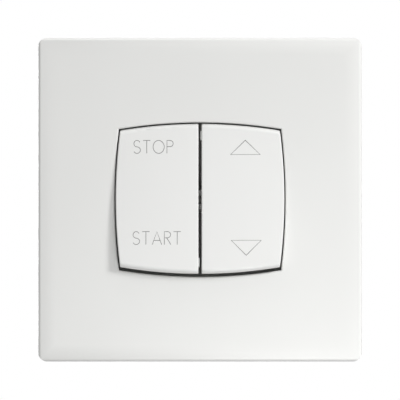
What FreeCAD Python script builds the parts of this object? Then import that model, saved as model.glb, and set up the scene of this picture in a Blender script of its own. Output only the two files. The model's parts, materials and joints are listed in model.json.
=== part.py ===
import FreeCAD, Part
import math
import operator
import os
from types import SimpleNamespace

import Sketcher
from FreeCAD import Rotation, Vector

# A flush wall switch for a roller shutter: two rockers side by side in a square cover plate, and
# behind them the frame that carries their pivots, the steel yoke and the contact block.
# +X is to the right, +Z is up, the front faces -Y and the wall is the plane Y = 0. The origin is
# midway between the two fixing screws, on the wall.

# Lengths are in millimetres and angles in degrees.
SIZES = {
    # cover plate
    "plate_crown_radius": 14.0,
    "plate_crown_angle": 15.0,
    "plate_edge_round": 1.0,
    "plate_corner_round": 2.3,
    "plate_face_wall": 2.0,
    "plate_side_wall": 1.8,
    "opening_corner_across": 40.1,
    "opening_corner_high": 34.9,
    "opening_side_bulge": 1.1,
    "opening_end_bulge": 1.65,
    "opening_rim_bevel": 0.25,
    "collar_wall": 1.2,
    "collar_depth": 2.2,
    "plate_rib_thick": 1.2,
    "plate_rib_gap": 0.05,
    "plate_rib_place": 27.0,
    # clips between the plate and the frame
    "clip_across": 26.0,
    "clip_up": 24.0,
    "clip_wide": 6.0,
    "clip_thick": 1.3,
    "clip_nose": 0.75,
    "clip_nose_high": 1.0,
    "clip_play": 0.15,
    "clip_end_gap": 0.25,
    # rockers
    "rocker_proud": 1.2,
    "rocker_gap_side": 0.35,
    "rocker_gap_end": 0.55,
    "rocker_gap_middle": 0.8,
    "rocker_face_wall": 1.8,
    "rocker_wall": 1.4,
    "rocker_end_round": 1.2,
    "rocker_end_draft": 6.5,
    "rocker_draft_gap": 0.1,
    "rocker_side_round": 0.3,
    "rocker_tilt": 3.75,
    "rocker_stop_gap": 0.15,
    "rocker_rib_gap": 2.0,
    "rocker_rib_high": 1.2,
    "rocker_rib_thick": 1.0,
    "nib_place": 15.7,
    "nib_long": 2.2,
    "nib_proud": 0.28,
    "nib_below_face": 1.1,
    "pivot_depth": 4.8,
    # clip legs between a rocker and its carrier
    "leg_place": 8.0,
    "leg_thick": 1.1,
    "leg_wide": 5.0,
    "leg_nose": 0.5,
    "leg_reach": 1.2,
    "leg_play": 0.15,
    "leg_seat_gap": 0.05,
    # rocker carriers
    "carrier_side_gap": 0.2,
    "carrier_end_rim": 2.3,
    "carrier_top_thick": 1.2,
    "cheek_thick": 1.4,
    "cheek_spread": 4.5,
    "cheek_round": 1.7,
    "cheek_gap": 0.1,
    "cheek_lean": 20.0,
    "trunnion_radius": 1.3,
    "trunnion_long": 1.9,
    "trunnion_play": 0.05,
    "carrier_web_thick": 1.2,
    "web_inset": 0.3,
    "tube_wall": 0.8,
    "tube_long": 9.8,
    # spring plungers
    "plunger_radius": 1.62,
    "plunger_play": 0.08,
    "plunger_nose_radius": 1.3,
    "plunger_dome_radius": 2.2,
    "plunger_guide_long": 6.6,
    "plunger_shoulder": 0.5,
    "plunger_pilot_gap": 0.25,
    "plunger_pilot_long": 1.5,
    "plunger_nose_gap": 0.05,
    "spring_room": 5.6,
    "spring_wire": 0.4,
    "spring_side_gap": 0.25,
    "spring_turns": 4.0,
    # support frame
    "frame_clip_rim": 1.8,
    "frame_corner_round": 3.0,
    "frame_thick": 2.4,
    "frame_window_margin": 2.2,
    "frame_window_rim": 1.2,
    "frame_window_half_high": 11.0,
    "frame_window_round": 1.5,
    "screw_room_radius": 5.0,
    "post_thick": 2.2,
    "post_side_play": 0.3,
    "post_wall_gap": 0.4,
    "post_foot": 3.4,
    "post_bearing_wall": 0.95,
    "post_cap": 0.6,
    "post_mouth": 2.1,
    "notch_room": 1.8,
    "notch_gap": 0.65,
    # steel yoke
    "yoke_slot_margin": 2.0,
    "yoke_edge_gap": 2.7,
    "yoke_corner_round": 4.0,
    "yoke_thick": 1.2,
    "yoke_window_across": 28.0,
    "yoke_window_high": 18.0,
    "yoke_window_round": 2.0,
    "fixing_spacing": 60.0,
    "fixing_slot_long": 7.0,
    "fixing_slot_radius": 2.0,
    # screws through frame and yoke into the contact block
    "screw_head_chamfer": 0.3,
    "tie_seat_wall": 1.4,
    "tie_screw_up": 23.0,
    "tie_screw_radius": 1.1,
    "tie_screw_head_radius": 2.1,
    "tie_screw_head_high": 1.3,
    "tie_screw_sunk": 1.5,
    "tie_screw_long": 10.0,
    "tie_screw_slot_wide": 0.6,
    "tie_screw_slot_deep": 0.7,
    "tie_screw_play": 0.2,
    "tie_screw_grip_play": 0.03,
    "tie_boss_radius": 2.4,
    "tie_boss_in_wall": 0.8,
    # contact block housing
    "housing_chamfer": 7.0,
    "housing_wall": 1.6,
    "housing_floor": 2.0,
    "partition_thick": 1.6,
    "bar_rest_wide": 3.0,
    # contact levers
    "lever_axis_depth": 9.4,
    "lever_tilt": 6.0,
    "lever_wide": 6.0,
    "lever_waist": 4.4,
    "lever_waist_long": 2.8,
    "lever_end_rim": 0.2,
    "lever_thick": 0.8,
    "lever_corner_round": 1.0,
    "tip_place": 8.0,
    "tip_radius": 1.5,
    "tip_high": 0.9,
    "tip_dome_radius": 6.0,
    "tip_gap": 0.05,
    "button_radius": 1.7,
    "button_high": 0.6,
    # brass bars
    "bar_thick": 0.8,
    "bar_wide": 4.4,
    "bar_contact_inner": 5.8,
    "bar_riser_room": 2.3,
    "bar_tail_step": 5.1,
    "bar_end_gap": 0.5,
    "ridge_gap": 0.03,
    "ridge_half_wide": 1.6,
    "ridge_crest_radius": 0.35,
    "ridge_crest_half": 0.3,
    "ear_thick": 0.8,
    "ear_play": 0.15,
    "ear_side_gap": 0.3,
    "ear_rise": 0.5,
    "link_wide": 2.6,
    "link_drop_place": 3.8,
    "link_play": 0.2,
    # wire clamps
    "clamp_riser_gap": 0.9,
    "clamp_long": 5.0,
    "clamp_end_gap": 1.0,
    "clamp_play": 0.05,
    "clamp_wall": 1.2,
    "clamp_side_wall": 1.0,
    "clamp_room": 4.0,
    "clamp_floor_gap": 0.4,
    "clamp_screw_radius": 1.5,
    "clamp_screw_play": 0.05,
    "clamp_screw_long": 3.6,
    "clamp_head_radius": 2.5,
    "clamp_head_high": 1.8,
    "clamp_head_gap": 0.1,
    "clamp_slot_wide": 0.8,
    "clamp_slot_deep": 1.0,
    "well_play": 0.4,
    "wire_port_across": 3.8,
    "wire_port_deep": 3.4,
}

doc = FreeCAD.newDocument("roller_shutter_switch")
sheet = doc.addObject("Spreadsheet::Sheet", "sizes")
for row, (word, value) in enumerate(SIZES.items(), start=1):
    sheet.set(f"A{row}", word)
    sheet.set(f"B{row}", str(value))
    sheet.setAlias(f"B{row}", word)
doc.recompute()

SIGNS = {"+": operator.add, "-": operator.sub, "*": operator.mul, "/": operator.truediv}


class Size:
    """A length with both its number and the formula that binds it to the sheet."""

    def __init__(self, number, formula=None):
        self.number = float(number)
        self.formula = formula or f"({self.number:.6f})"

    def __add__(self, other):
        return joined(self, "+", other)

    def __radd__(self, other):
        return joined(other, "+", self)

    def __sub__(self, other):
        return joined(self, "-", other)

    def __rsub__(self, other):
        return joined(other, "-", self)

    def __mul__(self, other):
        return joined(self, "*", other)

    def __rmul__(self, other):
        return joined(other, "*", self)

    def __truediv__(self, other):
        return joined(self, "/", other)

    def __neg__(self):
        return joined(-1, "*", self)

    def __lt__(self, other):
        return self.number < as_size(other).number


def as_size(value):
    return value if isinstance(value, Size) else Size(value)


def joined(first, sign, second):
    first, second = as_size(first), as_size(second)
    return Size(SIGNS[sign](first.number, second.number), f"({first.formula} {sign} {second.formula})")


def sine(angle):
    return Size(math.sin(math.radians(angle.number)), f"sin({angle.formula})")


def cosine(angle):
    return Size(math.cos(math.radians(angle.number)), f"cos({angle.formula})")


def root(value):
    return Size(math.sqrt(value.number), f"sqrt({value.formula})")


size = SimpleNamespace(**{word: Size(value, f"sizes.{word}") for word, value in SIZES.items()})


def bind(thing, field, value):
    thing.setExpression(field, as_size(value).formula)


# Outlines are lists of corners. A corner holds its place and, where the edge that leaves it is an
# arc, the arc's radius. Arcs bulge out of an outline whose corners run anticlockwise.
def corner(across, up, radius=None):
    return as_size(across), as_size(up), radius


def box(left, low, right, high):
    return [corner(left, low), corner(right, low), corner(right, high), corner(left, high)]


def centred_box(across, up, wide, high):
    return box(across - wide / 2, up - high / 2, across + wide / 2, up + high / 2)


def round_box(left, low, right, high, radius):
    """A rectangle whose corners are quarter circles."""
    return [
        corner(left + radius, low),
        corner(right - radius, low, radius),
        corner(right, low + radius),
        corner(right, high - radius, radius),
        corner(right - radius, high),
        corner(left + radius, high, radius),
        corner(left, high - radius),
        corner(left, low + radius, radius),
    ]


def round_square(side, radius):
    return round_box(-side / 2, -side / 2, side / 2, side / 2, radius)


def slot(across, up, long, radius, upright):
    """A slot with round ends, each end as two quarter circles."""
    reach = long / 2 - radius
    if upright:
        ends = [(-1, -1), (0, -1), (1, -1), (1, 1), (0, 1), (-1, 1)]
        places = [(across + a * radius, up + b * (reach + radius * (a == 0))) for a, b in ends]
        curved = (0, 1, 3, 4)
    else:
        ends = [(-1, -1), (1, -1), (1, 0), (1, 1), (-1, 1), (-1, 0)]
        places = [(across + a * (reach + radius * (b == 0)), up + b * radius) for a, b in ends]
        curved = (1, 2, 4, 5)
    return [
        corner(x, z, radius if i in curved else None) for i, (x, z) in enumerate(places)
    ]


def arc_radius(half_chord, rise):
    return (half_chord * half_chord + rise * rise) / (2 * rise)


def barrel(half_across, half_high):
    """The opening's outline: four shallow arcs that meet in sharp corners."""
    side = arc_radius(half_high, size.opening_side_bulge)
    end = arc_radius(half_across, size.opening_end_bulge)
    return [
        corner(-half_across, -half_high, end),
        corner(half_across, -half_high, side),
        corner(half_across, half_high, end),
        corner(-half_across, half_high, side),
    ]


def half_barrel(half_across, half_high, middle, turn):
    """The left half of that outline, cut off beside the middle; turned round for the right half."""
    side = arc_radius(half_high, size.opening_side_bulge)
    end = arc_radius(half_across, size.opening_end_bulge)
    cut_high = half_high + size.opening_end_bulge - end + root(end * end - middle * middle)
    return [
        corner(-turn * half_across, -turn * half_high, end),
        corner(-turn * middle, -turn * cut_high),
        corner(-turn * middle, turn * cut_high, end),
        corner(-turn * half_across, turn * half_high, side),
    ]


class Disc:
    """A full circle in a sketch."""

    def __init__(self, across, up, radius):
        self.across, self.up, self.radius = as_size(across), as_size(up), radius


# The three views a sketch is drawn in: the origin plane, and the way its normal points. In the
# front view a sketch's axes are X and Z, from the side Y and Z, and from above X and Y.
VIEWS = {"front": ("XZ_Plane", -1), "side": ("YZ_Plane", 1), "above": ("XY_Plane", 1)}


def arc_between(begin, finish, radius):
    """The minor arc from one corner to the next, anticlockwise about its centre."""
    chord = finish - begin
    half = chord.Length / 2
    inward = Vector(-chord.y, chord.x, 0).normalize()
    centre = (begin + finish) / 2 + inward * math.sqrt(max(radius * radius - half * half, 0))
    angles = [math.atan2(p.y - centre.y, p.x - centre.x) for p in (begin, finish)]
    if angles[1] < angles[0]:
        angles[1] += 2 * math.pi
    return Part.ArcOfCircle(Part.Circle(centre, Vector(0, 0, 1), radius), *angles)


def draw_loop(sketch, loop):
    """Adds one closed outline and ties each corner and radius to the sheet."""
    first = sketch.GeometryCount
    if isinstance(loop, Disc):
        place = Vector(loop.across.number, loop.up.number, 0)
        sketch.addGeometry(Part.Circle(place, Vector(0, 0, 1), loop.radius.number), False)
        tie(sketch, "DistanceX", loop.across, -1, 1, first, 3)
        tie(sketch, "DistanceY", loop.up, -1, 1, first, 3)
        tie(sketch, "Radius", loop.radius, first)
        return
    places = [Vector(x.number, z.number, 0) for x, z, _ in loop]
    for i, (_, _, radius) in enumerate(loop):
        begin, finish = places[i], places[(i + 1) % len(loop)]
        edge = arc_between(begin, finish, radius.number) if radius else Part.LineSegment(begin, finish)
        sketch.addGeometry(edge, False)
    for i, (across, up, radius) in enumerate(loop):
        edge, following = first + i, first + (i + 1) % len(loop)
        sketch.addConstraint(Sketcher.Constraint("Coincident", edge, 2, following, 1))
        tie(sketch, "DistanceX", across, -1, 1, edge, 1)
        tie(sketch, "DistanceY", up, -1, 1, edge, 1)
        if radius:
            tie(sketch, "Radius", radius, edge)


def tie(sketch, kind, value, *where):
    number = sketch.addConstraint(Sketcher.Constraint(kind, *where, value.number))
    bind(sketch, f"Constraints[{number}]", value)


def add_sketch(body, name, view, at, loops):
    plane_role, sense = VIEWS[view]
    sketch = body.newObject("Sketcher::SketchObject", name)
    plane = next(f for f in body.Origin.OriginFeatures if f.Role == plane_role)
    sketch.AttachmentSupport = [(plane, "")]
    sketch.MapMode = "FlatFace"
    bind(sketch, "AttachmentOffset.Base.z", sense * as_size(at))
    for loop in loops:
        draw_loop(sketch, loop)
    return sketch


def feature(body, kind, name, view, low, high, loops):
    """A pad or pocket between two planes, low and high along the axis that the view looks along."""
    low, high = sorted((as_size(low), as_size(high)))
    from_high = (view == "front") == (kind == "Pad")
    sketch = add_sketch(body, name + "_outline", view, high if from_high else low, loops)
    made = body.newObject("PartDesign::" + kind, name)
    made.Profile = sketch
    bind(made, "Length", high - low)
    return made


def pad(body, name, view, low, high, *loops):
    return feature(body, "Pad", name, view, low, high, loops)


def pocket(body, name, view, low, high, *loops):
    return feature(body, "Pocket", name, view, low, high, loops)


def revolution(body, name, loop):
    """A profile drawn from above, spun about the body's own Y axis."""
    sketch = add_sketch(body, name + "_profile", "above", 0, [loop])
    made = body.newObject("PartDesign::Revolution", name)
    made.Profile = sketch
    made.ReferenceAxis = (sketch, ["V_Axis"])
    made.Angle = 360
    return made


def soften(body, name, radius, chosen):
    """Rounds the edges that the test picks."""
    doc.recompute()
    base = body.Tip
    picked = [f"Edge{i}" for i, edge in enumerate(base.Shape.Edges, start=1) if chosen(edge)]
    made = body.newObject("PartDesign::Fillet", name)
    made.Base = (base, picked)
    bind(made, "Radius", radius)


def lies_at(edge, depth):
    """True if the whole edge lies at this depth."""
    limits = edge.BoundBox
    return all(abs(value - as_size(depth).number) < 1e-4 for value in (limits.YMin, limits.YMax))


parts = []


def new_part(label, across=0, depth=0, up=0, tilt=None):
    """An empty body at its place, turned about its own X axis where a tilt is given."""
    body = doc.addObject("PartDesign::Body", label)
    body.Label = label
    for axis, value in (("x", across), ("y", depth), ("z", up)):
        bind(body, f"Placement.Base.{axis}", value)
    if tilt is not None:
        body.Placement.Rotation = Rotation(Vector(1, 0, 0), tilt.number)
        bind(body, "Placement.Rotation.Angle", tilt)
    parts.append(body)
    return body


# Places that several parts share. Depths are along Y, so the front of a thing is its low end.
yoke_front = -size.yoke_thick
frame_front = yoke_front - size.frame_thick
pivot_at = frame_front - size.cheek_gap - size.cheek_round
plate_front = pivot_at - size.pivot_depth + size.rocker_proud
plate_under = plate_front + size.plate_face_wall
opening_half_across = size.opening_corner_across / 2
opening_half_high = size.opening_corner_high / 2
rocker_half_across = opening_half_across - size.rocker_gap_side
rocker_half_high = opening_half_high - size.rocker_gap_end
rocker_reach = rocker_half_high + size.opening_end_bulge

# The yoke goes round its fixing slots and the plate round the yoke.
yoke_side = size.fixing_spacing + size.fixing_slot_long + 2 * size.yoke_slot_margin
plate_side = yoke_side + 2 * (size.yoke_edge_gap + size.plate_side_wall)
clip_end = yoke_front - size.clip_end_gap
clip_catch = clip_end - size.clip_nose_high
frame_ledge = clip_catch - size.clip_play
clip_outer = size.clip_up + size.clip_thick + size.clip_nose
frame_side = 2 * (clip_outer + size.clip_play + size.frame_clip_rim)

# Across, from the middle: the middle post, a carrier, the outer post and the rocker's side wall.
carrier_inner = size.rocker_gap_middle / 2 + size.rocker_wall + size.carrier_side_gap
middle_post_half = carrier_inner - size.post_side_play
rocker_wall_inside = rocker_half_across + size.opening_side_bulge - size.rocker_wall
outer_post_outer = rocker_wall_inside - size.post_wall_gap
outer_post_inner = outer_post_outer - size.post_thick
carrier_outer = outer_post_inner - size.post_side_play
carrier_wide = carrier_outer - carrier_inner
carrier_place = (carrier_outer + carrier_inner) / 2
window_inner = middle_post_half + size.frame_window_rim
window_outer = outer_post_inner - size.frame_window_margin
tie_across = window_outer + size.tie_screw_head_radius + size.tie_screw_play + size.tie_seat_wall
tie_up = size.tie_screw_up / 2

# Depths and places measured from the rockers' pivot.
face_from_pivot = -size.pivot_depth
under_from_pivot = face_from_pivot + size.rocker_face_wall
carrier_back = under_from_pivot + size.carrier_top_thick
leg_window_end = size.leg_place + size.leg_thick / 2 + size.leg_play
carrier_half_long = leg_window_end + size.carrier_end_rim
stop_depth = frame_front - pivot_at - size.rocker_stop_gap
skirt_end = (stop_depth - rocker_reach * sine(size.rocker_tilt)) / cosine(size.rocker_tilt)
rocker_rest = -size.rocker_tilt
bearing_bore = size.trunnion_radius + size.trunnion_play
post_top = -bearing_bore - size.post_cap
post_head = bearing_bore + size.post_bearing_wall
tube_bore = size.plunger_radius + size.plunger_play
spring_radius = tube_bore - size.spring_side_gap - size.spring_wire / 2

# Depths in the contact block. A lever turns on the ridge behind it, and its tip's dome just
# reaches the button when the lever is tilted.
lever_front = size.lever_axis_depth - size.lever_thick
plunger_tip = lever_front - size.plunger_nose_gap - pivot_at
dome_middle = (size.tip_high - size.tip_dome_radius) * cosine(size.lever_tilt)
tip_reach = size.lever_axis_depth + dome_middle + size.tip_place * sine(size.lever_tilt)
button_front = tip_reach + size.tip_dome_radius + size.tip_gap
bar_front = button_front + size.button_high
bar_back = bar_front + size.bar_thick
bar_tail = bar_front + size.bar_tail_step
ridge_top = size.lever_axis_depth + size.ridge_gap
clamp_front = bar_tail - size.clamp_wall
clamp_inner_back = bar_tail + size.clamp_room
clamp_back = clamp_inner_back + size.clamp_wall
floor_inside = clamp_back + size.clamp_floor_gap
housing_back = floor_inside + size.housing_floor

# Along a side, from the lever's axis outwards: the riser, the clamp and the block's end wall.
ear_half = size.lever_waist_long / 2 - size.ear_side_gap
bar_riser = size.tip_place + size.button_radius + size.bar_riser_room
clamp_place = bar_riser + size.clamp_riser_gap + size.clamp_long / 2
wall_inside_up = clamp_place + size.clamp_long / 2 + size.clamp_end_gap
housing_half_high = wall_inside_up + size.housing_wall
wall_inside_across = tie_across + size.tie_boss_radius - size.tie_boss_in_wall
housing_half_across = wall_inside_across + size.housing_wall

SIDES = (-1, 1)


def rolled_profile(half):
    """The plate's outline from above: its face falls away in a slow arc, then in a tight one."""
    slow, tight = size.plate_crown_radius, size.plate_edge_round
    lean, rise = sine(size.plate_crown_angle), cosine(size.plate_crown_angle)
    meet = half - tight * (1 - lean)
    flat = meet - slow * lean
    meet_depth = plate_front + slow * (1 - rise)
    side_depth = meet_depth + tight * rise
    return [
        corner(-half, side_depth, tight),
        corner(-meet, meet_depth, slow),
        corner(-flat, plate_front),
        corner(flat, plate_front, slow),
        corner(meet, meet_depth, tight),
        corner(half, side_depth),
        corner(half, 0),
        corner(-half, 0),
    ]


def turned_over(loop):
    """The same outline run the other way round, as it is when its two axes change places."""
    count = len(loop)
    return [(*loop[-i][:2], loop[(-i - 1) % count][2]) for i in range(count)]


def cover_plate():
    """The square plate: a hollow shell with a collar round its opening, ribs and four clips."""
    body = new_part("cover_plate")
    half = plate_side / 2
    clear = half + 1
    roll = rolled_profile(half)
    pad(body, "plate_block", "side", -half, half, [corner(y, z, r) for z, y, r in turned_over(roll)])
    pocket(body, "rolled_sides", "above", -half, half, box(-clear, plate_front - 1, clear, 1), roll)
    pocket(body, "round_corners", "front", plate_front, 0, box(-clear, -clear, clear, clear),
           round_square(plate_side, size.plate_corner_round))
    inside = plate_side - 2 * size.plate_side_wall
    inner_round = size.plate_corner_round - size.plate_side_wall
    pocket(body, "hollow", "front", plate_under, 0, round_square(inside, inner_round))
    collar_end = plate_under + size.collar_depth
    pad(body, "collar", "front", plate_under, collar_end,
        barrel(opening_half_across + size.collar_wall, opening_half_high + size.collar_wall))
    pocket(body, "opening", "front", plate_front, collar_end, barrel(opening_half_across, opening_half_high))
    rib_end = frame_front - size.plate_rib_gap
    rib_start = opening_half_high + size.opening_end_bulge + size.collar_wall / 2
    rib_reach = (inside + size.plate_side_wall) / 2
    for side in SIDES:
        for place in (-size.plate_rib_place, size.plate_rib_place):
            ends = sorted((side * rib_start, side * rib_reach))
            name = f"rib_{'low' if side < 0 else 'high'}_{'left' if place < 0 else 'right'}"
            pad(body, name, "front", plate_under, rib_end,
                box(place - size.plate_rib_thick / 2, ends[0], place + size.plate_rib_thick / 2, ends[1]))
    for side in SIDES:
        inner = side * size.clip_up
        outer = side * (size.clip_up + size.clip_thick)
        nose = side * clip_outer
        leg = [corner(plate_under, inner), corner(clip_end, inner), corner(clip_end, outer),
               corner(clip_catch, nose), corner(clip_catch, outer), corner(plate_under, outer)]
        for place in (-size.clip_across / 2, size.clip_across / 2):
            name = f"clip_{'low' if side < 0 else 'high'}_{'left' if place < 0 else 'right'}"
            pad(body, name, "side", place - size.clip_wide / 2, place + size.clip_wide / 2, leg)
    rim = size.opening_rim_bevel
    bevel_mouth = add_sketch(body, "bevel_mouth", "front", plate_front,
                             [barrel(opening_half_across + rim, opening_half_high + rim)])
    bevel_root = add_sketch(body, "bevel_root", "front", plate_front + rim,
                            [barrel(opening_half_across, opening_half_high)])
    bevel = body.newObject("PartDesign::SubtractiveLoft", "rim_bevel")
    bevel.Profile = bevel_mouth
    bevel.Sections = [bevel_root]
    bevel.Ruled = True


def draft_end(body, end, turn):
    """Leans a rocker's end wall inwards behind its round, so that its foot stays out of sight."""
    start = face_from_pivot + size.rocker_end_round + size.rocker_draft_gap
    lean = (skirt_end - start) * sine(size.rocker_end_draft) / cosine(size.rocker_end_draft)
    radius = arc_radius(rocker_half_across, size.opening_end_bulge)
    far = rocker_half_across + 1
    places = [(Size(0), rocker_reach),
              (-turn * far, rocker_reach - radius + root(radius * radius - far * far))]
    if turn != end:
        places.reverse()
    sketches = []
    for word, depth, shift in (("mouth", start, Size(0)), ("foot", skirt_end, lean)):
        (x1, z1), (x2, z2) = [(x, end * (z - shift)) for x, z in places]
        clear = end * (rocker_reach + 1)
        loop = [corner(x1, z1, radius), corner(x2, z2), corner(x2, clear), corner(x1, clear)]
        ending = "low" if end < 0 else "high"
        sketches.append(add_sketch(body, f"draft_{word}_{ending}", "front", depth, [loop]))
    cut = body.newObject("PartDesign::SubtractiveLoft", f"end_draft_{'low' if end < 0 else 'high'}")
    cut.Profile = sketches[0]
    cut.Sections = sketches[1:]
    cut.Ruled = True


def rocker_cover(label, turn):
    """One rocker: a thin shell with rounded ends, drawn level about its pivot and then tilted."""
    body = new_part(label, depth=pivot_at, tilt=rocker_rest)
    middle = size.rocker_gap_middle / 2
    wall = size.rocker_wall
    pad(body, "rocker_block", "front", face_from_pivot, skirt_end,
        half_barrel(rocker_half_across, rocker_half_high, middle, turn))
    soften(body, "end_round", size.rocker_end_round, lambda e: lies_at(e, face_from_pivot)
           and abs(e.CenterOfMass.z) > rocker_half_high.number - 1)
    soften(body, "side_round", size.rocker_side_round, lambda e: lies_at(e, face_from_pivot)
           and abs(e.CenterOfMass.z) < 1)
    for end in SIDES:
        draft_end(body, end, turn)
    pocket(body, "shell", "front", under_from_pivot, skirt_end,
           half_barrel(rocker_half_across - wall, rocker_half_high - wall, middle + wall, turn))
    notch = size.post_foot + size.notch_room
    pocket(body, "post_notch", "side", -turn * (middle + wall), -turn * middle,
           box(post_top - size.notch_gap, -notch, skirt_end, notch))
    rib_left = -turn * (rocker_half_across - wall / 2)
    rib_right = -turn * (middle + wall / 2)
    left, right = sorted((rib_left, rib_right))
    for side in SIDES:
        half = size.rocker_rib_thick / 2
        place = side * (carrier_half_long + size.rocker_rib_gap + half)
        pad(body, f"cross_rib_{'low' if side < 0 else 'high'}", "front", under_from_pivot,
            under_from_pivot + size.rocker_rib_high, box(left, place - half, right, place + half))
    leg_middle = -turn * carrier_place
    catch = carrier_back + size.leg_seat_gap
    tip = carrier_back + size.leg_reach
    for side in SIDES:
        inner = side * (size.leg_place - size.leg_thick / 2)
        outer = side * (size.leg_place + size.leg_thick / 2)
        nose = side * (size.leg_place + size.leg_thick / 2 + size.leg_nose)
        leg = [corner(under_from_pivot, inner), corner(tip, inner), corner(tip, (inner + outer) / 2),
               corner(catch, nose), corner(catch, outer), corner(under_from_pivot, outer)]
        pad(body, f"leg_{'low' if side < 0 else 'high'}", "side",
            leg_middle - size.leg_wide / 2, leg_middle + size.leg_wide / 2, leg)
    nib_middle = -turn * size.nib_place
    nib_front = face_from_pivot + size.nib_below_face
    pad(body, "spacer_nib", "side", -turn * middle, -turn * (middle - size.nib_proud),
        box(nib_front, nib_middle - size.nib_long / 2, skirt_end, nib_middle + size.nib_long / 2))


def rocker_carrier(label, side):
    """The carrier under a rocker: top plate, two cheeks with trunnions, and the plunger's tube."""
    body = new_part(label, across=side * carrier_place, depth=pivot_at, tilt=rocker_rest)
    half = carrier_wide / 2
    pad(body, "top_plate", "front", under_from_pivot, carrier_back,
        centred_box(Size(0), Size(0), carrier_wide, 2 * carrier_half_long))
    for way in SIDES:
        pocket(body, f"leg_window_{'low' if way < 0 else 'high'}", "front", under_from_pivot, carrier_back,
               centred_box(Size(0), way * size.leg_place, size.leg_wide + 2 * size.leg_play,
                           size.leg_thick + 2 * size.leg_play))
    lean_in = size.cheek_round * sine(size.cheek_lean)
    lean_out = size.cheek_round * cosine(size.cheek_lean)
    cheek = [corner(carrier_back, -size.cheek_spread), corner(lean_in, -lean_out, size.cheek_round),
             corner(lean_in, lean_out), corner(carrier_back, size.cheek_spread)]
    for way in SIDES:
        hand = "left" if way < 0 else "right"
        pad(body, f"cheek_{hand}", "side", way * half, way * (half - size.cheek_thick), cheek)
        pad(body, f"trunnion_{hand}", "side", way * half, way * (half + size.trunnion_long),
            Disc(0, 0, size.trunnion_radius))
    web_end = size.cheek_round - size.web_inset
    web = centred_box(Size(0), Size(0), carrier_wide - size.cheek_thick, size.carrier_web_thick)
    pad(body, "cross_web", "front", carrier_back, web_end, web)
    tube_end = carrier_back + size.tube_long
    pad(body, "plunger_tube", "front", carrier_back, tube_end, Disc(0, 0, tube_bore + size.tube_wall))
    pocket(body, "tube_bore", "front", carrier_back, tube_end, Disc(0, 0, tube_bore))


def plunger(label, side):
    """The sprung plunger: a pilot for the spring, a guided barrel and a round nose."""
    body = new_part(label, across=side * carrier_place, depth=pivot_at, tilt=rocker_rest)
    start = carrier_back + size.spring_room
    shoulder = start + size.plunger_guide_long
    nose, dome = size.plunger_nose_radius, size.plunger_dome_radius
    pilot = spring_radius - size.spring_wire / 2 - size.plunger_pilot_gap
    rim = plunger_tip - dome + root(dome * dome - nose * nose)
    revolution(body, "plunger_turned", [
        corner(0, start - size.plunger_pilot_long),
        corner(pilot, start - size.plunger_pilot_long),
        corner(pilot, start),
        corner(size.plunger_radius, start),
        corner(size.plunger_radius, shoulder),
        corner(nose, shoulder + size.plunger_shoulder),
        corner(nose, rim, dome),
        corner(0, plunger_tip),
    ])


def plunger_spring(label, side):
    """The coil spring between the tube's end and the plunger's shoulder, with a six-sided wire."""
    body = new_part(label, across=side * carrier_place, depth=pivot_at, tilt=rocker_rest)
    start = carrier_back + size.spring_wire / 2
    section = [corner(spring_radius + size.spring_wire / 2 * math.cos(math.radians(60 * i)),
                      start + size.spring_wire / 2 * math.sin(math.radians(60 * i))) for i in range(6)]
    wire = add_sketch(body, "wire_section", "above", 0, [section])
    coil = body.newObject("PartDesign::AdditiveHelix", "coil")
    coil.Profile = wire
    coil.ReferenceAxis = (wire, ["V_Axis"])
    coil.Mode = "height-turns-angle"
    bind(coil, "Height", size.spring_room - size.spring_wire)
    bind(coil, "Turns", size.spring_turns)


def support_frame():
    """The moulded frame on the yoke: windows, bearing posts, clip windows and screw seats."""
    body = new_part("support_frame")
    pad(body, "frame_plate", "front", frame_front, yoke_front,
        round_square(frame_side, size.frame_corner_round))
    fixing = size.fixing_spacing / 2
    pocket(body, "screw_room", "front", frame_front, yoke_front,
           *[Disc(a * fixing, b * fixing, size.screw_room_radius)
             for a, b in ((1, 0), (-1, 0), (0, 1), (0, -1))])
    tall = size.frame_window_half_high
    for side in SIDES:
        left, right = sorted((side * window_inner, side * window_outer))
        pocket(body, f"window_{'left' if side < 0 else 'right'}", "front", frame_front, yoke_front,
               round_box(left, -tall, right, tall, size.frame_window_round))
    wide = size.clip_wide / 2 + size.clip_play
    for side in SIDES:
        inner = side * (size.clip_up - size.clip_play)
        outer = side * (size.clip_up + size.clip_thick + size.clip_play)
        behind = side * (clip_outer + size.clip_play)
        for place in (-size.clip_across / 2, size.clip_across / 2):
            name = f"clip_window_{'low' if side < 0 else 'high'}_{'left' if place < 0 else 'right'}"
            low, high = sorted((inner, outer))
            pocket(body, name, "front", frame_front, frame_ledge,
                   box(place - wide, low, place + wide, high))
            low, high = sorted((inner, behind))
            pocket(body, name + "_back", "front", frame_ledge, yoke_front,
                   box(place - wide, low, place + wide, high))
    profile = [corner(post_top + pivot_at, -post_head), corner(frame_front, -size.post_foot),
               corner(frame_front, size.post_foot), corner(post_top + pivot_at, post_head)]
    posts = {"left_post": (-outer_post_outer, -outer_post_inner),
             "middle_post": (-middle_post_half, middle_post_half),
             "right_post": (outer_post_inner, outer_post_outer)}
    mouth = size.post_mouth / 2
    for name, (left, right) in posts.items():
        pad(body, name, "side", left, right, profile)
        pocket(body, name + "_bearing", "side", left, right, Disc(pivot_at, 0, bearing_bore))
        pocket(body, name + "_mouth", "side", left, right,
               box(post_top + pivot_at, -mouth, pivot_at, mouth))
    seat = frame_front + size.tie_screw_sunk
    pocket(body, "head_seats", "front", frame_front, seat,
           *tie_places(size.tie_screw_head_radius + size.tie_screw_play))
    pocket(body, "shank_holes", "front", seat, yoke_front,
           *tie_places(size.tie_screw_radius + size.tie_screw_play))


def tie_places(radius):
    """A circle at each of the four screws that tie the stack together."""
    return [Disc(a * tie_across, b * tie_up, radius) for a in SIDES for b in SIDES]


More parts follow.
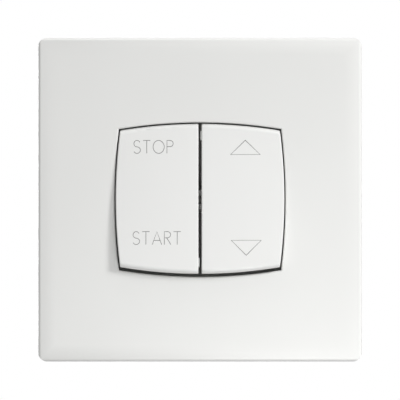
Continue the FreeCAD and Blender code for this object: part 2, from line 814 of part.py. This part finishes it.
def mounting_yoke():
    """The stamped steel yoke: a square with a window, four fixing slots and four screw holes."""
    body = new_part("mounting_yoke")
    pad(body, "yoke_blank", "front", yoke_front, 0, round_square(yoke_side, size.yoke_corner_round))
    half, tall = size.yoke_window_across / 2, size.yoke_window_high / 2
    pocket(body, "window", "front", yoke_front, 0,
           round_box(-half, -tall, half, tall, size.yoke_window_round))
    fixing = size.fixing_spacing / 2
    long, radius = size.fixing_slot_long, size.fixing_slot_radius
    for side in SIDES:
        hand = "left" if side < 0 else "right"
        pocket(body, f"slot_{hand}", "front", yoke_front, 0,
               slot(side * fixing, Size(0), long, radius, False))
        ending = "low" if side < 0 else "high"
        pocket(body, f"slot_{ending}", "front", yoke_front, 0,
               slot(Size(0), side * fixing, long, radius, True))
    pocket(body, "screw_holes", "front", yoke_front, 0,
           *tie_places(size.tie_screw_radius + size.tie_screw_play))


def housing_outline(inset, turn=None):
    """The block's outline with cut-off corners, whole or one compartment of it."""
    across = housing_half_across - inset
    high = housing_half_high - inset
    bevel = size.housing_chamfer - inset * (2 - math.sqrt(2))
    right = [corner(across - bevel, -high), corner(across, -high + bevel),
             corner(across, high - bevel), corner(across - bevel, high)]
    if turn is None:
        return right + [corner(-across + bevel, high), corner(-across, high - bevel),
                        corner(-across, -high + bevel), corner(-across + bevel, -high)]
    middle = size.partition_thick / 2
    whole = right + [corner(middle, high), corner(middle, -high)]
    return [corner(turn * x, turn * z) for x, z, _ in whole]


def mechanism_housing():
    """The block behind the yoke: two compartments, screw bosses, bar rests, wells and wire ports."""
    body = new_part("mechanism_housing")
    pad(body, "block", "front", 0, housing_back, housing_outline(Size(0)))
    for turn in SIDES:
        pocket(body, f"compartment_{'left' if turn < 0 else 'right'}", "front", 0, floor_inside,
               housing_outline(size.housing_wall, turn))
    boss_end = size.tie_screw_long
    pad(body, "bosses", "front", 0, boss_end, *tie_places(size.tie_boss_radius))
    pocket(body, "boss_bores", "front", 0, boss_end,
           *tie_places(size.tie_screw_radius + size.tie_screw_grip_play))
    rest = size.bar_rest_wide / 2
    wide = size.bar_wide / 2
    for side in SIDES:
        hand = "left" if side < 0 else "right"
        place = side * carrier_place
        rests = [centred_box(place, up, 2 * wide, 2 * rest)
                 for up in (-size.tip_place, Size(0), size.tip_place)]
        pad(body, f"bar_rests_{hand}", "front", bar_back, floor_inside, *rests)
    play = size.link_play
    pocket(body, "link_pass", "front", bar_front - play, bar_back,
           centred_box(Size(0), Size(0), size.partition_thick, size.link_wide + 2 * play))
    well = size.clamp_head_radius + size.well_play
    port = size.wire_port_across / 2
    port_front = bar_tail + size.bar_thick
    for name, (across, side) in TERMINALS.items():
        up = side * clamp_place
        pocket(body, f"{name}_well", "front", floor_inside, housing_back, Disc(across, up, well))
        low, high = sorted((side * wall_inside_up, side * housing_half_high))
        pocket(body, f"{name}_port", "above", low, high,
               box(across - port, port_front, across + port, port_front + size.wire_port_deep))


TERMINALS = {
    "line": (-carrier_place, -1),
    "up": (carrier_place, -1),
    "down": (carrier_place, 1),
}


def contact_lever(label, side):
    """A brass seesaw with a waist that sits between the bar's ears, drawn level about its axis."""
    tilt = size.lever_tilt
    body = new_part(label, across=side * carrier_place, depth=size.lever_axis_depth, tilt=tilt)
    half = size.tip_place + size.tip_radius + size.lever_end_rim
    wide = size.lever_wide / 2
    pad(body, "strip", "front", -size.lever_thick, 0,
        round_box(-wide, -half, wide, half, size.lever_corner_round))
    waist, reach = size.lever_waist / 2, size.lever_waist_long / 2
    pocket(body, "waist", "front", -size.lever_thick, 0,
           box(waist, -reach, wide, reach), box(-wide, -reach, -waist, reach))


def lever_tip(label, side, way):
    """A domed contact tip riveted to the back of a lever."""
    tilt, reach = size.lever_tilt, way * size.tip_place
    body = new_part(label, across=side * carrier_place, depth=size.lever_axis_depth - reach * sine(tilt),
                    up=reach * cosine(tilt), tilt=tilt)
    dome, radius = size.tip_dome_radius, size.tip_radius
    rim = size.tip_high - dome + root(dome * dome - radius * radius)
    revolution(body, "tip_turned", [corner(0, 0), corner(radius, 0), corner(radius, rim, dome),
                                    corner(0, size.tip_high)])


def contact_button(label, side, way):
    """A fixed contact's button, riveted to the front of its bar."""
    body = new_part(label, across=side * carrier_place, up=way * size.tip_place)
    pad(body, "button", "front", button_front, bar_front, Disc(0, 0, size.button_radius))


def riser_and_tail(way):
    """The strip from a contact to its clamp: a step back, and a tail that runs out to the clamp."""
    riser = way * bar_riser
    inner = riser - way * size.bar_thick
    end = way * (wall_inside_up - size.bar_end_gap)
    tail_back = bar_tail + size.bar_thick
    return [corner(bar_front, riser), corner(bar_tail, riser), corner(bar_tail, end),
            corner(tail_back, end), corner(tail_back, inner), corner(bar_back, inner)]


def terminal_bar(label, side, way):
    """A brass bar from a fixed contact to its clamp, bent from strip."""
    body = new_part(label, across=side * carrier_place)
    start = way * size.bar_contact_inner
    profile = [corner(bar_front, start), *riser_and_tail(way), corner(bar_back, start)]
    pad(body, "bent_strip", "side", -size.bar_wide / 2, size.bar_wide / 2, profile)


def add_saddle(body, across):
    """The round-crested ridge that a lever rocks on, and the two ears that hold its waist."""
    half = size.lever_waist / 2 - size.ear_play
    spread = size.ridge_half_wide
    crest, crest_half = size.ridge_crest_radius, size.ridge_crest_half
    crest_end = ridge_top + crest - root(crest * crest - crest_half * crest_half)
    ridge = [corner(bar_front, -spread), corner(bar_front, spread), corner(crest_end, crest_half, crest),
             corner(crest_end, -crest_half)]
    pad(body, "ridge", "side", across - half, across + half, ridge)
    inner = size.lever_waist / 2 + size.ear_play
    ear_front = lever_front - size.ear_rise
    for side in SIDES:
        pad(body, f"ear_{'left' if side < 0 else 'right'}", "side", across + side * inner,
            across + side * (inner + size.ear_thick),
            box(ear_front, -ear_half, bar_back, ear_half))


def line_bar():
    """The supply bar: the left lever's saddle, a rest for its lower tip, and the way to its clamp."""
    body = new_part("line_bar", across=-carrier_place)
    start = ear_half
    profile = [corner(bar_front, start), *riser_and_tail(-1), corner(bar_back, start)]
    pad(body, "bent_strip", "side", -size.bar_wide / 2, size.bar_wide / 2, profile)
    foot = size.lever_waist / 2 + size.ear_play + size.ear_thick
    pad(body, "saddle_foot", "front", bar_front, bar_back,
        box(-foot, -ear_half, foot, ear_half))
    add_saddle(body, Size(0))
    pad(body, "tip_rest", "front", button_front, bar_front, Disc(0, -size.tip_place, size.button_radius))


def link_bar():
    """The flat link from the left side's fixed contact to the right lever's saddle."""
    body = new_part("link_bar")
    left, right = -carrier_place, carrier_place
    half, strip = size.bar_wide / 2, size.link_wide / 2
    drop = -size.link_drop_place
    top = size.tip_place
    foot = size.lever_waist / 2 + size.ear_play + size.ear_thick
    ear = ear_half
    outline = [
        corner(left - half, top - half), corner(drop - strip, top - half), corner(drop - strip, -strip),
        corner(right - foot, -strip), corner(right - foot, -ear), corner(right + foot, -ear),
        corner(right + foot, ear), corner(right - foot, ear), corner(right - foot, strip),
        corner(drop + strip, strip), corner(drop + strip, top + half), corner(left - half, top + half),
    ]
    pad(body, "flat_strip", "front", bar_front, bar_back, outline)
    add_saddle(body, right)


def wire_clamp(label, across, way):
    """A square cage that holds a wire against its bar, with a hole for the screw in its back."""
    body = new_part(label, across=across)
    low, high = sorted((way * (clamp_place - size.clamp_long / 2),
                        way * (clamp_place + size.clamp_long / 2)))
    inner = size.bar_wide / 2 + size.clamp_play
    half = inner + size.clamp_side_wall
    pad(body, "cage", "above", low, high, box(-half, clamp_front, half, clamp_back))
    pocket(body, "wire_room", "above", low, high, box(-inner, bar_tail, inner, clamp_inner_back))
    pocket(body, "screw_hole", "front", clamp_inner_back, clamp_back,
           Disc(0, way * clamp_place, size.clamp_screw_radius + size.clamp_screw_play))


def slotted_screw(label, across, up, seat, toward, radius, long, head_radius, head_high,
                  slot_wide, slot_deep):
    """A cheese-head screw on its own axis; toward is the way along Y in which its shank runs."""
    body = new_part(label, across=across, depth=seat, up=up)
    head = -toward * head_high
    shank = toward * long
    cut = size.screw_head_chamfer
    turned = [corner(0, head), corner(head_radius - cut, head), corner(head_radius, head + toward * cut),
              corner(head_radius, 0), corner(radius, 0), corner(radius, shank), corner(0, shank)]
    revolution(body, "turned", turned)
    deep = sorted((head, head + toward * slot_deep))
    pocket(body, "driver_slot", "front", deep[0], deep[1],
           centred_box(Size(0), Size(0), 2 * head_radius, slot_wide))


cover_plate()
for label, carrier_label, turn, hand in (
    ("stop_start_rocker", "left_carrier", 1, "left"),
    ("up_down_rocker", "right_carrier", -1, "right"),
):
    rocker_cover(label, turn)
    rocker_carrier(carrier_label, -turn)
    plunger(f"{hand}_plunger", -turn)
    plunger_spring(f"{hand}_plunger_spring", -turn)
    contact_lever(f"{hand}_lever", -turn)
    lever_tip(f"{hand}_lever_upper_tip", -turn, 1)
    lever_tip(f"{hand}_lever_lower_tip", -turn, -1)
support_frame()
mounting_yoke()
mechanism_housing()
line_bar()
link_bar()
terminal_bar("up_bar", 1, -1)
terminal_bar("down_bar", 1, 1)
contact_button("start_contact", -1, 1)
contact_button("up_contact", 1, -1)
contact_button("down_contact", 1, 1)
for name, (across, way) in TERMINALS.items():
    wire_clamp(f"{name}_clamp", across, way)
    slotted_screw(f"{name}_clamp_screw", across, way * clamp_place, clamp_back + size.clamp_head_gap, -1,
                  size.clamp_screw_radius, size.clamp_screw_long, size.clamp_head_radius,
                  size.clamp_head_high, size.clamp_slot_wide, size.clamp_slot_deep)
for side in SIDES:
    for way in SIDES:
        place = f"{'lower' if way < 0 else 'upper'}_{'left' if side < 0 else 'right'}"
        slotted_screw(f"{place}_tie_screw", side * tie_across, way * tie_up,
                      frame_front + size.tie_screw_sunk, 1, size.tie_screw_radius, size.tie_screw_long,
                      size.tie_screw_head_radius, size.tie_screw_head_high, size.tie_screw_slot_wide,
                      size.tie_screw_slot_deep)

doc.recompute()
for thing in doc.Objects:
    if {"Invalid", "Error"} & set(thing.State):
        raise RuntimeError(f"{thing.Name} ({thing.Label}) failed: {thing.State}")
for part in parts:
    if part.Shape.isNull() or not part.Shape.isValid() or not part.Shape.Solids:
        raise RuntimeError(f"{part.Label} has no valid solid")

os.makedirs("parts", exist_ok=True)
for part in parts:
    part.Shape.exportStep(f"parts/{part.Label}.step")
    limits = part.Shape.BoundBox
    print(f"{part.Label:24s} {len(part.Shape.Solids)} solid  {part.Shape.Volume:9.2f} mm3  "
          f"y {limits.YMin:7.2f} to {limits.YMax:6.2f}")
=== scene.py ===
import json
import math

import bpy
from mathutils import Matrix, Vector


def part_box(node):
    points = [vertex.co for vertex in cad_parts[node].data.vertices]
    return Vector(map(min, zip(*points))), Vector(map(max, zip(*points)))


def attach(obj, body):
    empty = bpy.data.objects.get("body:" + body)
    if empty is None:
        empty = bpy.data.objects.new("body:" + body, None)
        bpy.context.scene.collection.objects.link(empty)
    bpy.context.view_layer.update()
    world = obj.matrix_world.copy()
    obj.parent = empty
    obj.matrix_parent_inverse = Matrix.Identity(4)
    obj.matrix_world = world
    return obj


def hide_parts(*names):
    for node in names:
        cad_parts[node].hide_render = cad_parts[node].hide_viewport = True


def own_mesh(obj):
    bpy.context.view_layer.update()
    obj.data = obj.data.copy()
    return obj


# A flush wall switch for a roller shutter, seen straight from the front on white.
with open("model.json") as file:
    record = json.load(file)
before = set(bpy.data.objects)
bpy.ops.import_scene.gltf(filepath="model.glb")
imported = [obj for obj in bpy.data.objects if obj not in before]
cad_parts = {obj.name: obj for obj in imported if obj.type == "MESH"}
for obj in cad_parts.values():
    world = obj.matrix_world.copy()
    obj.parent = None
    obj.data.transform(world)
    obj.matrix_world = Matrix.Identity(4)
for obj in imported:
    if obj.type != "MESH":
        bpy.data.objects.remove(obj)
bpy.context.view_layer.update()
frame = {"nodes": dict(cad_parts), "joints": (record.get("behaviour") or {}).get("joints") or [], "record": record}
nodes = frame["nodes"]
joints = {row["name"]: row for row in frame["joints"]}

MM = 0.001


# Materials. A pattern's scale is the number of its grains in a metre, and a relief's depth is a length.

NOISE_LOW = 0.3
NOISE_HIGH = 0.7
METAL = 1.0
PLASTIC_IOR = 1.5
PLASTIC_GLOSS_DRIFT = 0.03
DULL_STEEL = 0.86
STEEL_SHINIER = 0.07
STEEL_ROUGHER = 0.09
BRASS_BRIGHT = (0.80, 0.60, 0.27)
BRASS_DULL = (0.62, 0.43, 0.17)
BRASS_ROUGHNESS = 0.28
BRASS_SHINIER = 0.06
BRASS_ROUGHER = 0.10
ROLLING_RELIEF = 0.6
WORN_INK = 1.18
ALONG_X = (0.08, 1.0, 1.0)
ALONG_Y = (1.0, 0.1, 1.0)
ALONG_Z = (1.0, 1.0, 0.12)


def new_material(name, colour, roughness, metallic=0.0):
    """A material with its plain values set on the shader itself; returns its parts."""
    material = bpy.data.materials.new(name)
    material.use_nodes = True
    tree = material.node_tree
    shader = tree.nodes["Principled BSDF"]
    shader.inputs["Base Color"].default_value = (*colour, 1.0)
    shader.inputs["Roughness"].default_value = roughness
    shader.inputs["Metallic"].default_value = metallic
    place = tree.nodes.new("ShaderNodeTexCoord")
    return material, tree, shader, place.outputs["Object"]


def noise(tree, place, scale, detail, stretch=(1.0, 1.0, 1.0)):
    """A noise pattern on the object's own coordinates; a small stretch draws it out along that axis."""
    mapping = tree.nodes.new("ShaderNodeMapping")
    mapping.inputs["Scale"].default_value = stretch
    tree.links.new(place, mapping.inputs["Vector"])
    texture = tree.nodes.new("ShaderNodeTexNoise")
    texture.inputs["Scale"].default_value = scale
    texture.inputs["Detail"].default_value = detail
    tree.links.new(mapping.outputs["Vector"], texture.inputs["Vector"])
    return texture.outputs["Fac"]


def between(tree, value, low, high):
    """The pattern's middle stretched to run from low to high."""
    spread = tree.nodes.new("ShaderNodeMapRange")
    spread.inputs["From Min"].default_value = NOISE_LOW
    spread.inputs["From Max"].default_value = NOISE_HIGH
    spread.inputs["To Min"].default_value = low
    spread.inputs["To Max"].default_value = high
    tree.links.new(value, spread.inputs["Value"])
    return spread.outputs["Result"]


def blend_colours(tree, value, low, high):
    """A colour between two, by a pattern."""
    mix = tree.nodes.new("ShaderNodeMix")
    mix.data_type = "RGBA"
    mix.inputs["A"].default_value = (*low, 1.0)
    mix.inputs["B"].default_value = (*high, 1.0)
    tree.links.new(value, mix.inputs["Factor"])
    return mix.outputs["Result"]


def bump(tree, shader, height, depth, strength=1.0):
    """Fine relief, with its depth in metres."""
    relief = tree.nodes.new("ShaderNodeBump")
    relief.inputs["Distance"].default_value = depth
    relief.inputs["Strength"].default_value = strength
    tree.links.new(height, relief.inputs["Height"])
    tree.links.new(relief.outputs["Normal"], shader.inputs["Normal"])


def moulded_plastic(name, colour, roughness, grain, grain_depth, shift=0.012):
    """Moulded plastic: a very fine grain, a faint drift of tone and gloss across the moulding."""
    material, tree, shader, place = new_material(name, colour, roughness)
    drift = between(tree, noise(tree, place, scale=45.0, detail=2.0), 0.0, 1.0)
    light = tuple(min(1.0, c * (1 + shift)) for c in colour)
    dark = tuple(c * (1 - shift) for c in colour)
    tree.links.new(blend_colours(tree, drift, dark, light), shader.inputs["Base Color"])
    shinier = roughness - PLASTIC_GLOSS_DRIFT
    rougher = roughness + PLASTIC_GLOSS_DRIFT
    gloss = between(tree, noise(tree, place, scale=260.0, detail=4.0), shinier, rougher)
    tree.links.new(gloss, shader.inputs["Roughness"])
    shader.inputs["IOR"].default_value = PLASTIC_IOR
    bump(tree, shader, noise(tree, place, grain, detail=2.0), grain_depth)
    return material


def plated_steel(name, colour, roughness, rolled=(1.0, 1.0, 1.0)):
    """Plated steel: fine rolling lines, a cloudy tone and a gloss that changes along the lines."""
    material, tree, shader, place = new_material(name, colour, roughness, METAL)
    cloud = between(tree, noise(tree, place, scale=180.0, detail=4.0), 0.0, 1.0)
    dull = tuple(c * DULL_STEEL for c in colour)
    tree.links.new(blend_colours(tree, cloud, dull, colour), shader.inputs["Base Color"])
    lines = noise(tree, place, scale=900.0, detail=3.0, stretch=rolled)
    gloss = between(tree, lines, roughness - STEEL_SHINIER, roughness + STEEL_ROUGHER)
    tree.links.new(gloss, shader.inputs["Roughness"])
    bump(tree, shader, lines, depth=0.004 * MM, strength=ROLLING_RELIEF)
    return material


def rolled_brass(name):
    """Brass strip: rolling lines along its length and a warmer, duller tone in patches."""
    material, tree, shader, place = new_material(name, BRASS_BRIGHT, BRASS_ROUGHNESS, METAL)
    patches = between(tree, noise(tree, place, scale=220.0, detail=4.0), 0.0, 1.0)
    tree.links.new(blend_colours(tree, patches, BRASS_DULL, BRASS_BRIGHT), shader.inputs["Base Color"])
    lines = noise(tree, place, scale=1400.0, detail=2.0, stretch=ALONG_Z)
    gloss = between(tree, lines, BRASS_ROUGHNESS - BRASS_SHINIER, BRASS_ROUGHNESS + BRASS_ROUGHER)
    tree.links.new(gloss, shader.inputs["Roughness"])
    bump(tree, shader, lines, depth=0.003 * MM, strength=ROLLING_RELIEF)
    return material


def printed_ink(name, colour):
    """Screen printed ink: matt, and a little paler where it has worn."""
    material, tree, shader, place = new_material(name, colour, roughness=0.55)
    wear = between(tree, noise(tree, place, scale=2600.0, detail=3.0), 0.0, 1.0)
    pale = tuple(c * WORN_INK for c in colour)
    tree.links.new(blend_colours(tree, wear, colour, pale), shader.inputs["Base Color"])
    return material


MATERIALS = {
    "plate_plastic": moulded_plastic("plate white", (0.82, 0.822, 0.805), roughness=0.36,
                                     grain=5200.0, grain_depth=0.0016 * MM, shift=0.006),
    "rocker_plastic": moulded_plastic("rocker white", (0.83, 0.832, 0.818), roughness=0.33,
                                      grain=6400.0, grain_depth=0.0012 * MM, shift=0.005),
    "carrier_plastic": moulded_plastic("carrier grey", (0.55, 0.55, 0.53), roughness=0.48,
                                       grain=4200.0, grain_depth=0.003 * MM),
    "plunger_plastic": moulded_plastic("plunger cream", (0.72, 0.70, 0.62), roughness=0.34,
                                       grain=5200.0, grain_depth=0.001 * MM),
    "frame_plastic": moulded_plastic("frame grey", (0.42, 0.42, 0.41), roughness=0.50,
                                     grain=4200.0, grain_depth=0.004 * MM, shift=0.03),
    "housing_plastic": moulded_plastic("housing black", (0.035, 0.035, 0.038), roughness=0.42,
                                       grain=3600.0, grain_depth=0.006 * MM, shift=0.10),
    "zinc_steel": plated_steel("zinc plated sheet", (0.66, 0.67, 0.69), roughness=0.32, rolled=ALONG_X),
    "spring_steel": plated_steel("spring wire", (0.50, 0.50, 0.51), roughness=0.26),
    "screw_steel": plated_steel("plated screws", (0.62, 0.62, 0.64), roughness=0.26),
    "clamp_steel": plated_steel("plated cages", (0.60, 0.61, 0.63), roughness=0.34, rolled=ALONG_Y),
    "contact_brass": rolled_brass("brass strip"),
    "contact_silver": plated_steel("silver contacts", (0.86, 0.86, 0.84), roughness=0.20),
}
PRINT = printed_ink("grey print", (0.10, 0.10, 0.099))


# The parts of the frame keep their shapes, and get their finishes and crisp edges.

WELD_REACH = 0.0005 * MM
CRISP_ANGLE = math.radians(28)


def dress_frame():
    """Gives every part of the frame its finish and smooth rounds with crisp edges."""
    slots = {row["node"]: row["material_slot"] for row in frame["record"]["subparts"]}
    for name, piece in nodes.items():
        piece.data.materials.clear()
        piece.data.materials.append(MATERIALS[slots[name]])
        for face in piece.data.polygons:
            face.use_smooth = True
        weld = piece.modifiers.new("join", "WELD")
        weld.merge_threshold = WELD_REACH
        crisp = piece.modifiers.new("crisp", "EDGE_SPLIT")
        crisp.split_angle = CRISP_ANGLE


dress_frame()


# What rides on a rocker is drawn level about the hinge line and then tilted as the rocker rests,
# leant by half its range with its top end in.

rocker_hinge = joints["stop_start_rocker_tilt"]
PIVOT = Vector((0, rocker_hinge["pos_m"][1], 0))
TILT = Matrix.Rotation(math.radians(-rocker_hinge["range_deg"][1] / 2), 4, "X")
ROCKER_SEAT = Matrix.Translation(PIVOT) @ TILT


# Marks on the rockers: thin printed lines.

FACE = -4.8 * MM
WORD_HALF_WIDE = 0.07 * MM
ARROW_HALF_WIDE = 0.105 * MM
INK_PROUD = 0.02 * MM
CAP_HIGH = 3.2 * MM
SAME_POINT = 0.01 * MM


def draw_line(points):
    """A line through points given across and up, as edges that one point was extruded along."""
    bpy.ops.object.select_all(action="DESELECT")
    bpy.ops.mesh.primitive_plane_add(size=MM, location=(0, 0, 0))
    line = bpy.context.object
    bpy.ops.object.mode_set(mode="EDIT")
    bpy.ops.mesh.merge(type="CENTER")
    start = Vector((points[0][0], 0, points[0][1]))
    bpy.ops.transform.translate(value=start)
    for here, there in zip(points, points[1:]):
        step = (there[0] - here[0], 0, there[1] - here[1])
        bpy.ops.mesh.extrude_region_move(TRANSFORM_OT_translate={"value": step})
    bpy.ops.mesh.select_all(action="SELECT")
    bpy.ops.mesh.remove_doubles(threshold=SAME_POINT)
    bpy.ops.object.mode_set(mode="OBJECT")
    return line


def arc(across, up, wide, high, begin, end, steps=14):
    """Points on an ellipse about a centre, with angles in degrees, anticlockwise from the right."""
    angles = [math.radians(begin + (end - begin) * i / steps) for i in range(steps + 1)]
    return [(across + wide * math.cos(a), up + high * math.sin(a)) for a in angles]


# Capitals in a cell one unit high: width, then the lines.
STEM_AND_BOWL = [(0, 0), (0, 1), (0.24, 1)] + arc(0.24, 0.76, 0.24, 0.24, 90, -90)[1:] + [(0, 0.52)]
LETTERS = {
    "S": (0.52, [arc(0.26, 0.75, 0.24, 0.25, 25, 270) + arc(0.26, 0.25, 0.26, 0.25, 90, -155)[1:]]),
    "T": (0.56, [[(0, 1), (0.56, 1)], [(0.28, 1), (0.28, 0)]]),
    "O": (0.86, [arc(0.43, 0.5, 0.43, 0.5, 0, 360, 32)]),
    "P": (0.48, [STEM_AND_BOWL]),
    "A": (0.72, [[(0, 0), (0.36, 1), (0.72, 0)], [(0.115, 0.32), (0.605, 0.32)]]),
    "R": (0.50, [STEM_AND_BOWL, [(0.18, 0.52), (0.50, 0)]]),
}
LETTER_GAP = 0.21


def word_lines(word, middle, low):
    """The lines of a word, centred on its middle, standing on its low edge."""
    width = sum(LETTERS[c][0] for c in word) + LETTER_GAP * (len(word) - 1)
    at = middle - width * CAP_HIGH / 2
    lines = []
    for c in word:
        wide, drawn = LETTERS[c]
        lines += [[(at + x * CAP_HIGH, low + z * CAP_HIGH) for x, z in line] for line in drawn]
        at += (wide + LETTER_GAP) * CAP_HIGH
    return lines


def triangle_lines(middle, base, tip, half_wide):
    """The one closed line of a triangle: along its level base, to its tip and back."""
    left, right = middle - half_wide, middle + half_wide
    return [[(left, base), (right, base), (middle, tip), (left, base)]]


def print_mark(name, body, lines, half_wide):
    """One printed mark: its lines joined, given the width of the print and laid on the rocker."""
    drawn = [draw_line(points) for points in lines]
    bpy.ops.object.select_all(action="DESELECT")
    for line in drawn:
        line.select_set(True)
    bpy.context.view_layer.objects.active = drawn[0]
    if len(drawn) > 1:
        bpy.ops.object.join()
    mark = bpy.context.object
    bpy.ops.object.convert(target="CURVE")
    mark.data.bevel_depth = half_wide
    mark.data.bevel_resolution = 2
    mark.data.use_fill_caps = True
    bpy.ops.object.convert(target="MESH")
    mark.name = mark.data.name = name
    flat = Matrix.Diagonal((1, INK_PROUD / half_wide, 1, 1))
    mark.data.transform(ROCKER_SEAT @ Matrix.Translation((0, FACE, 0)) @ flat)
    bpy.ops.object.shade_smooth()
    mark.data.materials.clear()
    mark.data.materials.append(PRINT)
    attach(mark, body)


stop_lines = word_lines("STOP", middle=-11.5 * MM, low=11.15 * MM)
start_lines = word_lines("START", middle=-10.65 * MM, low=-11.4 * MM)
up_lines = triangle_lines(middle=11.2 * MM, base=10.85 * MM, tip=14.4 * MM, half_wide=3.65 * MM)
down_lines = triangle_lines(middle=11.4 * MM, base=-10.35 * MM, tip=-14.05 * MM, half_wide=3.7 * MM)
print_mark("stop_word", "stop_start_rocker", stop_lines, WORD_HALF_WIDE)
print_mark("start_word", "stop_start_rocker", start_lines, WORD_HALF_WIDE)
print_mark("up_mark", "up_down_rocker", up_lines, ARROW_HALF_WIDE)
print_mark("down_mark", "up_down_rocker", down_lines, ARROW_HALF_WIDE)


# Plunger springs: round wire, drawn in place of the frame's springs and riding on their rockers.

WIRE = 0.4 * MM
WIRE_SIDES = 12
COIL_RADIUS = 1.25 * MM
COIL_TURNS = 4
COIL_STEPS = 32
COIL_FRONT = -7.2 * MM
COIL_ROOM = 5.6 * MM
SEAM_REACH = 0.001 * MM
ROUND_ANGLE = math.radians(40)


def wind_coil(name):
    """A coil of round wire about the Y axis, closed at both ends, that starts level with the origin."""
    bpy.ops.object.select_all(action="DESELECT")
    bpy.ops.mesh.primitive_circle_add(vertices=WIRE_SIDES, radius=WIRE / 2, location=(0, 0, 0))
    coil = bpy.context.object
    coil.name = coil.data.name = name
    bpy.ops.object.mode_set(mode="EDIT")
    bpy.ops.transform.translate(value=(COIL_RADIUS, 0, 0))
    bpy.ops.object.mode_set(mode="OBJECT")
    winding = coil.modifiers.new("winding", "SCREW")
    winding.axis = "Y"
    winding.iterations = COIL_TURNS
    winding.screw_offset = (COIL_ROOM - WIRE) / COIL_TURNS
    winding.steps = winding.render_steps = COIL_STEPS
    bpy.ops.object.modifier_apply(modifier="winding")
    bpy.ops.object.mode_set(mode="EDIT")
    bpy.ops.mesh.select_all(action="SELECT")
    bpy.ops.mesh.remove_doubles(threshold=SEAM_REACH)
    bpy.ops.mesh.fill_holes(sides=0)
    bpy.ops.mesh.select_all(action="SELECT")
    bpy.ops.mesh.normals_make_consistent(inside=False)
    bpy.ops.object.mode_set(mode="OBJECT")
    bpy.ops.object.shade_smooth_by_angle(angle=ROUND_ANGLE)
    return coil


def plunger_coil(side, body):
    """One spring, seated level about its plunger's line and then tilted with its rocker."""
    coil = wind_coil(side + "_coil")
    across = joints[body + "_tilt"]["pos_m"][0]
    front = COIL_FRONT - PIVOT.y
    coil.data.transform(ROCKER_SEAT @ Matrix.Translation((across, front + WIRE / 2, 0)))
    coil.data.materials.append(MATERIALS["spring_steel"])
    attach(coil, body)
    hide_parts(side + "_plunger_spring")
    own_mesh(coil)


plunger_coil("left", "stop_start_rocker")
plunger_coil("right", "up_down_rocker")


# Floor, light and camera. Lengths are in metres, lamps in watts.

FLOOR_LEVEL = -0.30
FLOOR_WIDE = 12.0
FLOOR_TONE = 0.27
FLOOR_GLOW = 0.84
ROOM_LIGHT = 0.52
WHITE = (1.0, 1.0, 1.0, 1.0)
PHOTO_WIDE = 400
PIXEL = 0.2469 * MM
CAMERA_DROP = 0.3 * PIXEL
CAMERA_DISTANCE = 1.5
SENSOR_WIDE = 36.0


def white_to_the_eye(tree, plain):
    """Mixes a plain white in for the camera, for gloss and for what shows through."""
    path = tree.nodes.new("ShaderNodeLightPath")
    seen = path.outputs["Is Camera Ray"]
    for ray in ("Is Glossy Ray", "Is Transmission Ray"):
        most = tree.nodes.new("ShaderNodeMath")
        most.operation = "MAXIMUM"
        tree.links.new(seen, most.inputs[0])
        tree.links.new(path.outputs[ray], most.inputs[1])
        seen = most.outputs[0]
    mix = tree.nodes.new("ShaderNodeMixShader")
    tree.links.new(seen, mix.inputs[0])
    tree.links.new(plain, mix.inputs[1])
    return mix


def add_floor():
    """A pale floor below the switch, which glows to white for the camera."""
    bpy.ops.object.select_all(action="DESELECT")
    bpy.ops.mesh.primitive_plane_add(size=FLOOR_WIDE, location=(0, 0, FLOOR_LEVEL))
    floor = bpy.context.object
    floor.name = "floor"
    material, tree, shader, _ = new_material("pale floor", (FLOOR_TONE,) * 3, roughness=0.9)
    glow = tree.nodes.new("ShaderNodeEmission")
    glow.inputs["Strength"].default_value = FLOOR_GLOW
    both = tree.nodes.new("ShaderNodeAddShader")
    tree.links.new(shader.outputs[0], both.inputs[0])
    tree.links.new(glow.outputs[0], both.inputs[1])
    mix = white_to_the_eye(tree, shader.outputs[0])
    tree.links.new(both.outputs[0], mix.inputs[2])
    tree.links.new(mix.outputs[0], tree.nodes["Material Output"].inputs["Surface"])
    floor.data.materials.append(material)


def light_room():
    """An even, plain light from all round, with pure white behind the switch."""
    world = bpy.data.worlds.new("white room")
    bpy.context.scene.world = world
    world.use_nodes = True
    tree = world.node_tree
    room = tree.nodes["Background"]
    room.inputs["Color"].default_value = WHITE
    room.inputs["Strength"].default_value = ROOM_LIGHT
    behind = tree.nodes.new("ShaderNodeBackground")
    behind.inputs["Color"].default_value = WHITE
    behind.inputs["Strength"].default_value = 1.0
    mix = white_to_the_eye(tree, room.outputs[0])
    tree.links.new(behind.outputs[0], mix.inputs[2])
    tree.links.new(mix.outputs[0], tree.nodes["World Output"].inputs["Surface"])


def add_lamp(name, place, wide, power):
    """A square lamp facing the switch's middle."""
    lamp = bpy.data.lights.new(name, "AREA")
    lamp.size = wide
    lamp.energy = power
    holder = bpy.data.objects.new(name, lamp)
    holder.location = place
    holder.rotation_mode = "QUATERNION"
    holder.rotation_quaternion = (-Vector(place)).to_track_quat("-Z", "Y")
    holder.visible_camera = False
    bpy.context.scene.collection.objects.link(holder)


def add_camera():
    """A long lens straight in front, with the opening's middle at the photograph's."""
    plate_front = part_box("cover_plate")[0].y
    camera_data = bpy.data.cameras.new("camera")
    camera_data.sensor_width = SENSOR_WIDE
    camera_data.lens = SENSOR_WIDE * CAMERA_DISTANCE / (PHOTO_WIDE * PIXEL)
    camera = bpy.data.objects.new("camera", camera_data)
    camera.location = (0, plate_front - CAMERA_DISTANCE, -CAMERA_DROP)
    camera.rotation_euler = (math.radians(90), 0, 0)
    bpy.context.scene.collection.objects.link(camera)
    bpy.context.scene.camera = camera


add_floor()
light_room()
add_lamp("key", place=(0.568, -0.428, 0.364), wide=0.18, power=3.8)
add_lamp("overhead", place=(0.0, -0.15, 0.93), wide=0.80, power=1.9)
add_lamp("behind", place=(-0.30, 0.92, 0.12), wide=0.60, power=4.2)
add_lamp("low_fill", place=(0.04, -0.12, -0.10), wide=0.08, power=0.075)
add_camera()
bpy.context.scene.view_settings.view_transform = "Standard"
